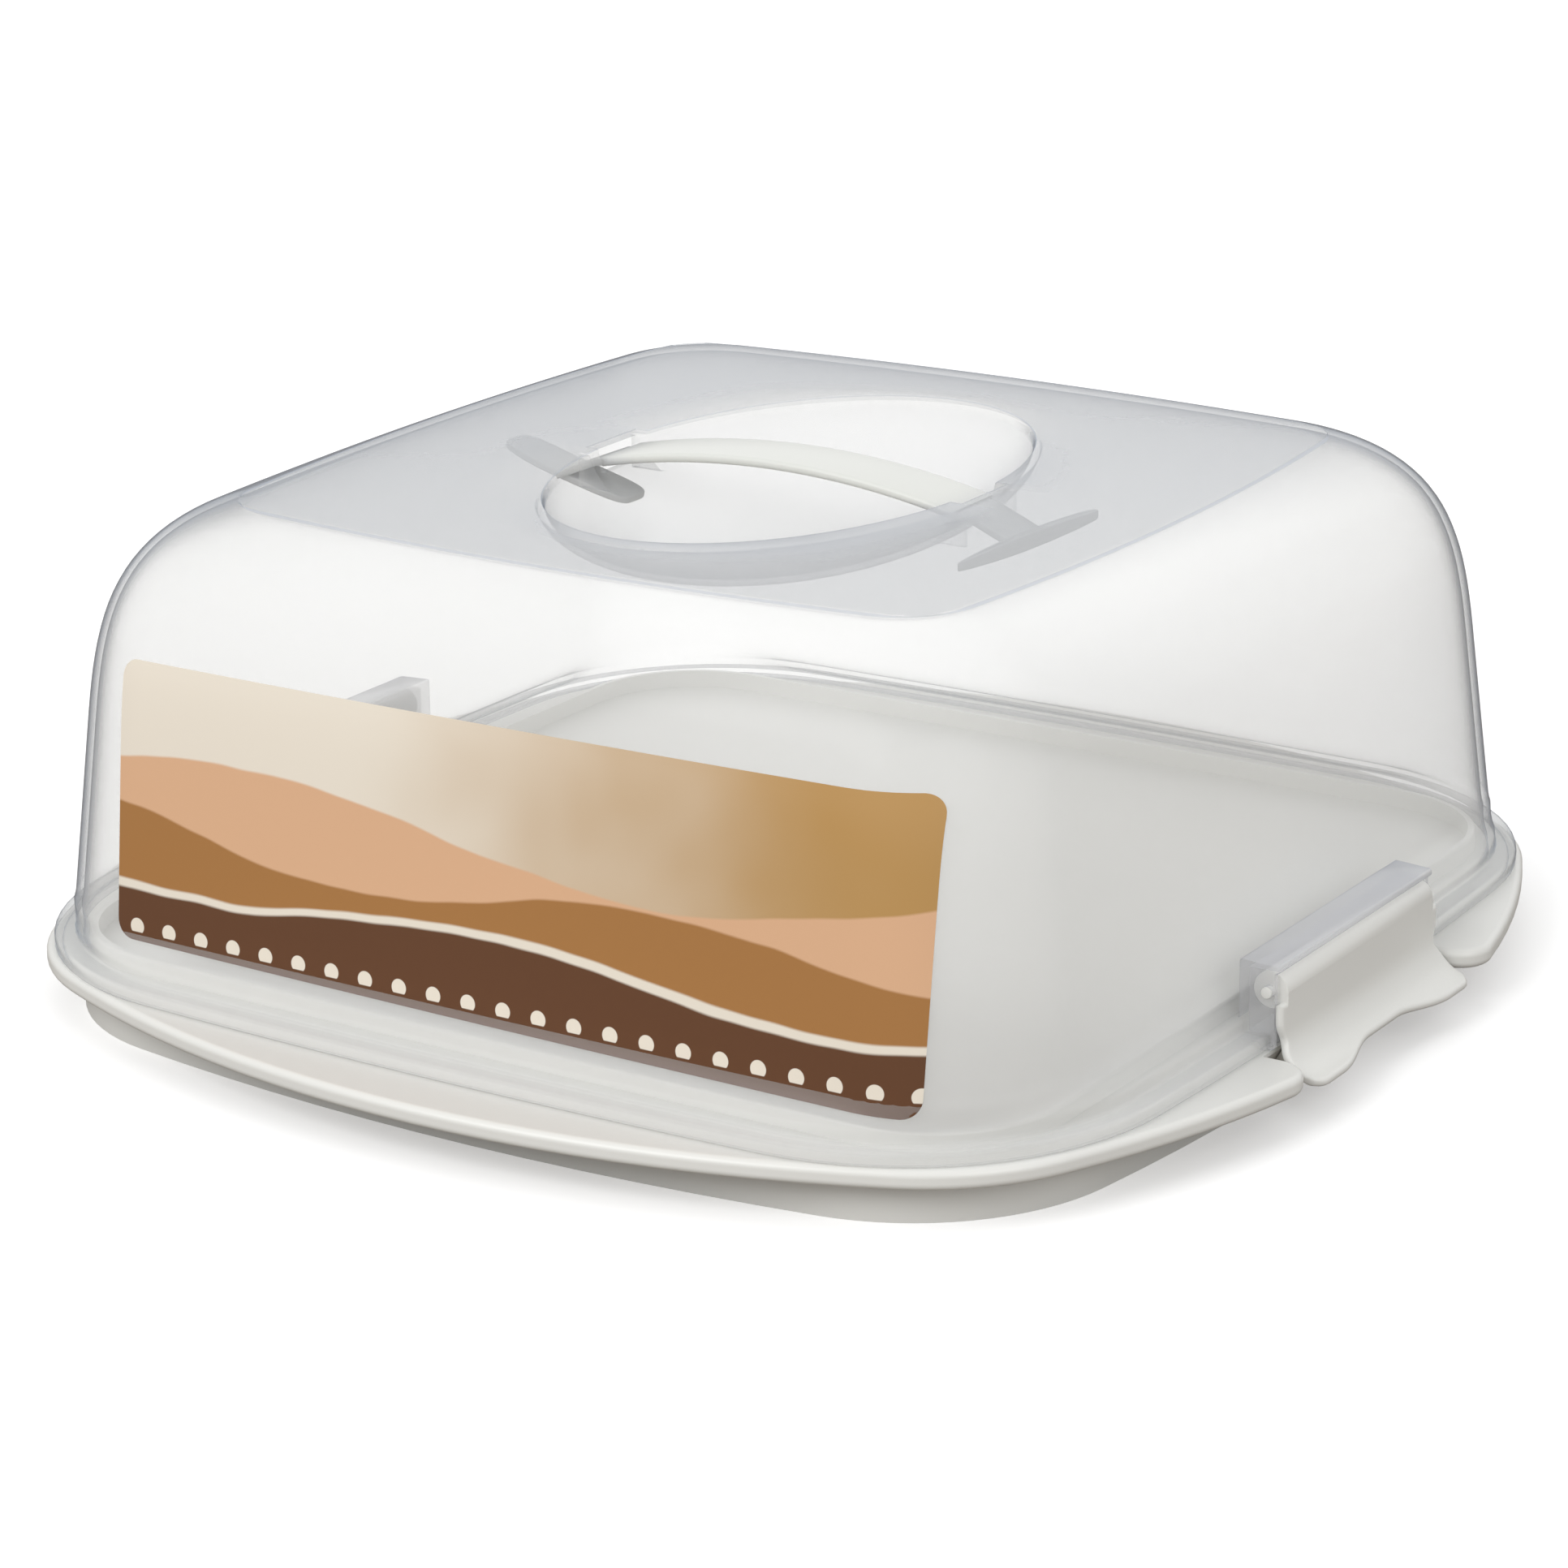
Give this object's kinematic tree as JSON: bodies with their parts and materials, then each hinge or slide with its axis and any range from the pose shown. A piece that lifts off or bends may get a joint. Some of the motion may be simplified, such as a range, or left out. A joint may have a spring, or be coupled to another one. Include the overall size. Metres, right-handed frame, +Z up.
{
  "type": "cake carrier with clip-on cover",
  "caption": "Low square cake carrier: flat tray, clear domed cover with a sunk strap handle, a hinged side clip at each end and a label on the front wall.",
  "frame": {"origin": "on the table under the middle of the carrier, at the centre of the underside of its bounding box", "axes": "+Z up, -Y towards the labelled front, +X and -X towards the two clips"},
  "size_m": [0.357, 0.3592, 0.1367],
  "materials": {
    "white_plastic": "satin moulded polypropylene, opaque white",
    "clear_plastic": "glossy clear moulded polypropylene, slightly hazy",
    "frosted_plastic": "satin milky moulded polypropylene",
    "clip_plastic": "satin moulded polypropylene, opaque white",
    "printed_label": null
  },
  "bodies": {
    "base": {"base_tray": "white_plastic"},
    "cover": {"cover": "clear_plastic", "label": "printed_label"},
    "handle": {"carry_handle": "frosted_plastic"},
    "right_clip": {"right_clip": "clip_plastic"},
    "left_clip": {"left_clip": "clip_plastic"}
  },
  "joints": [
    {"name": "cover_lift", "type": "slide", "parent": "base", "child": "cover", "axis": [0, 0, 1], "range_m": [0, 0.045]},
    {"name": "right_clip_swing", "type": "hinge", "parent": "cover", "child": "right_clip", "pos_m": [0.1629, 0, 0.0318], "axis": [0, -1, 0], "range_deg": [0, 90]},
    {"name": "left_clip_swing", "type": "hinge", "parent": "cover", "child": "left_clip", "pos_m": [-0.1629, 0, 0.0318], "axis": [0, 1, 0], "range_deg": [0, 90]},
    {"name": "handle_lift", "type": "slide", "parent": "cover", "child": "handle", "axis": [0, 0, 1], "range_m": [0, 0.002]}
  ],
  "couplings": [
    {"joint": "right_clip_swing", "follows": "cover_lift", "rad_per_m": 34.9},
    {"joint": "left_clip_swing", "follows": "cover_lift", "rad_per_m": 34.9}
  ]
}
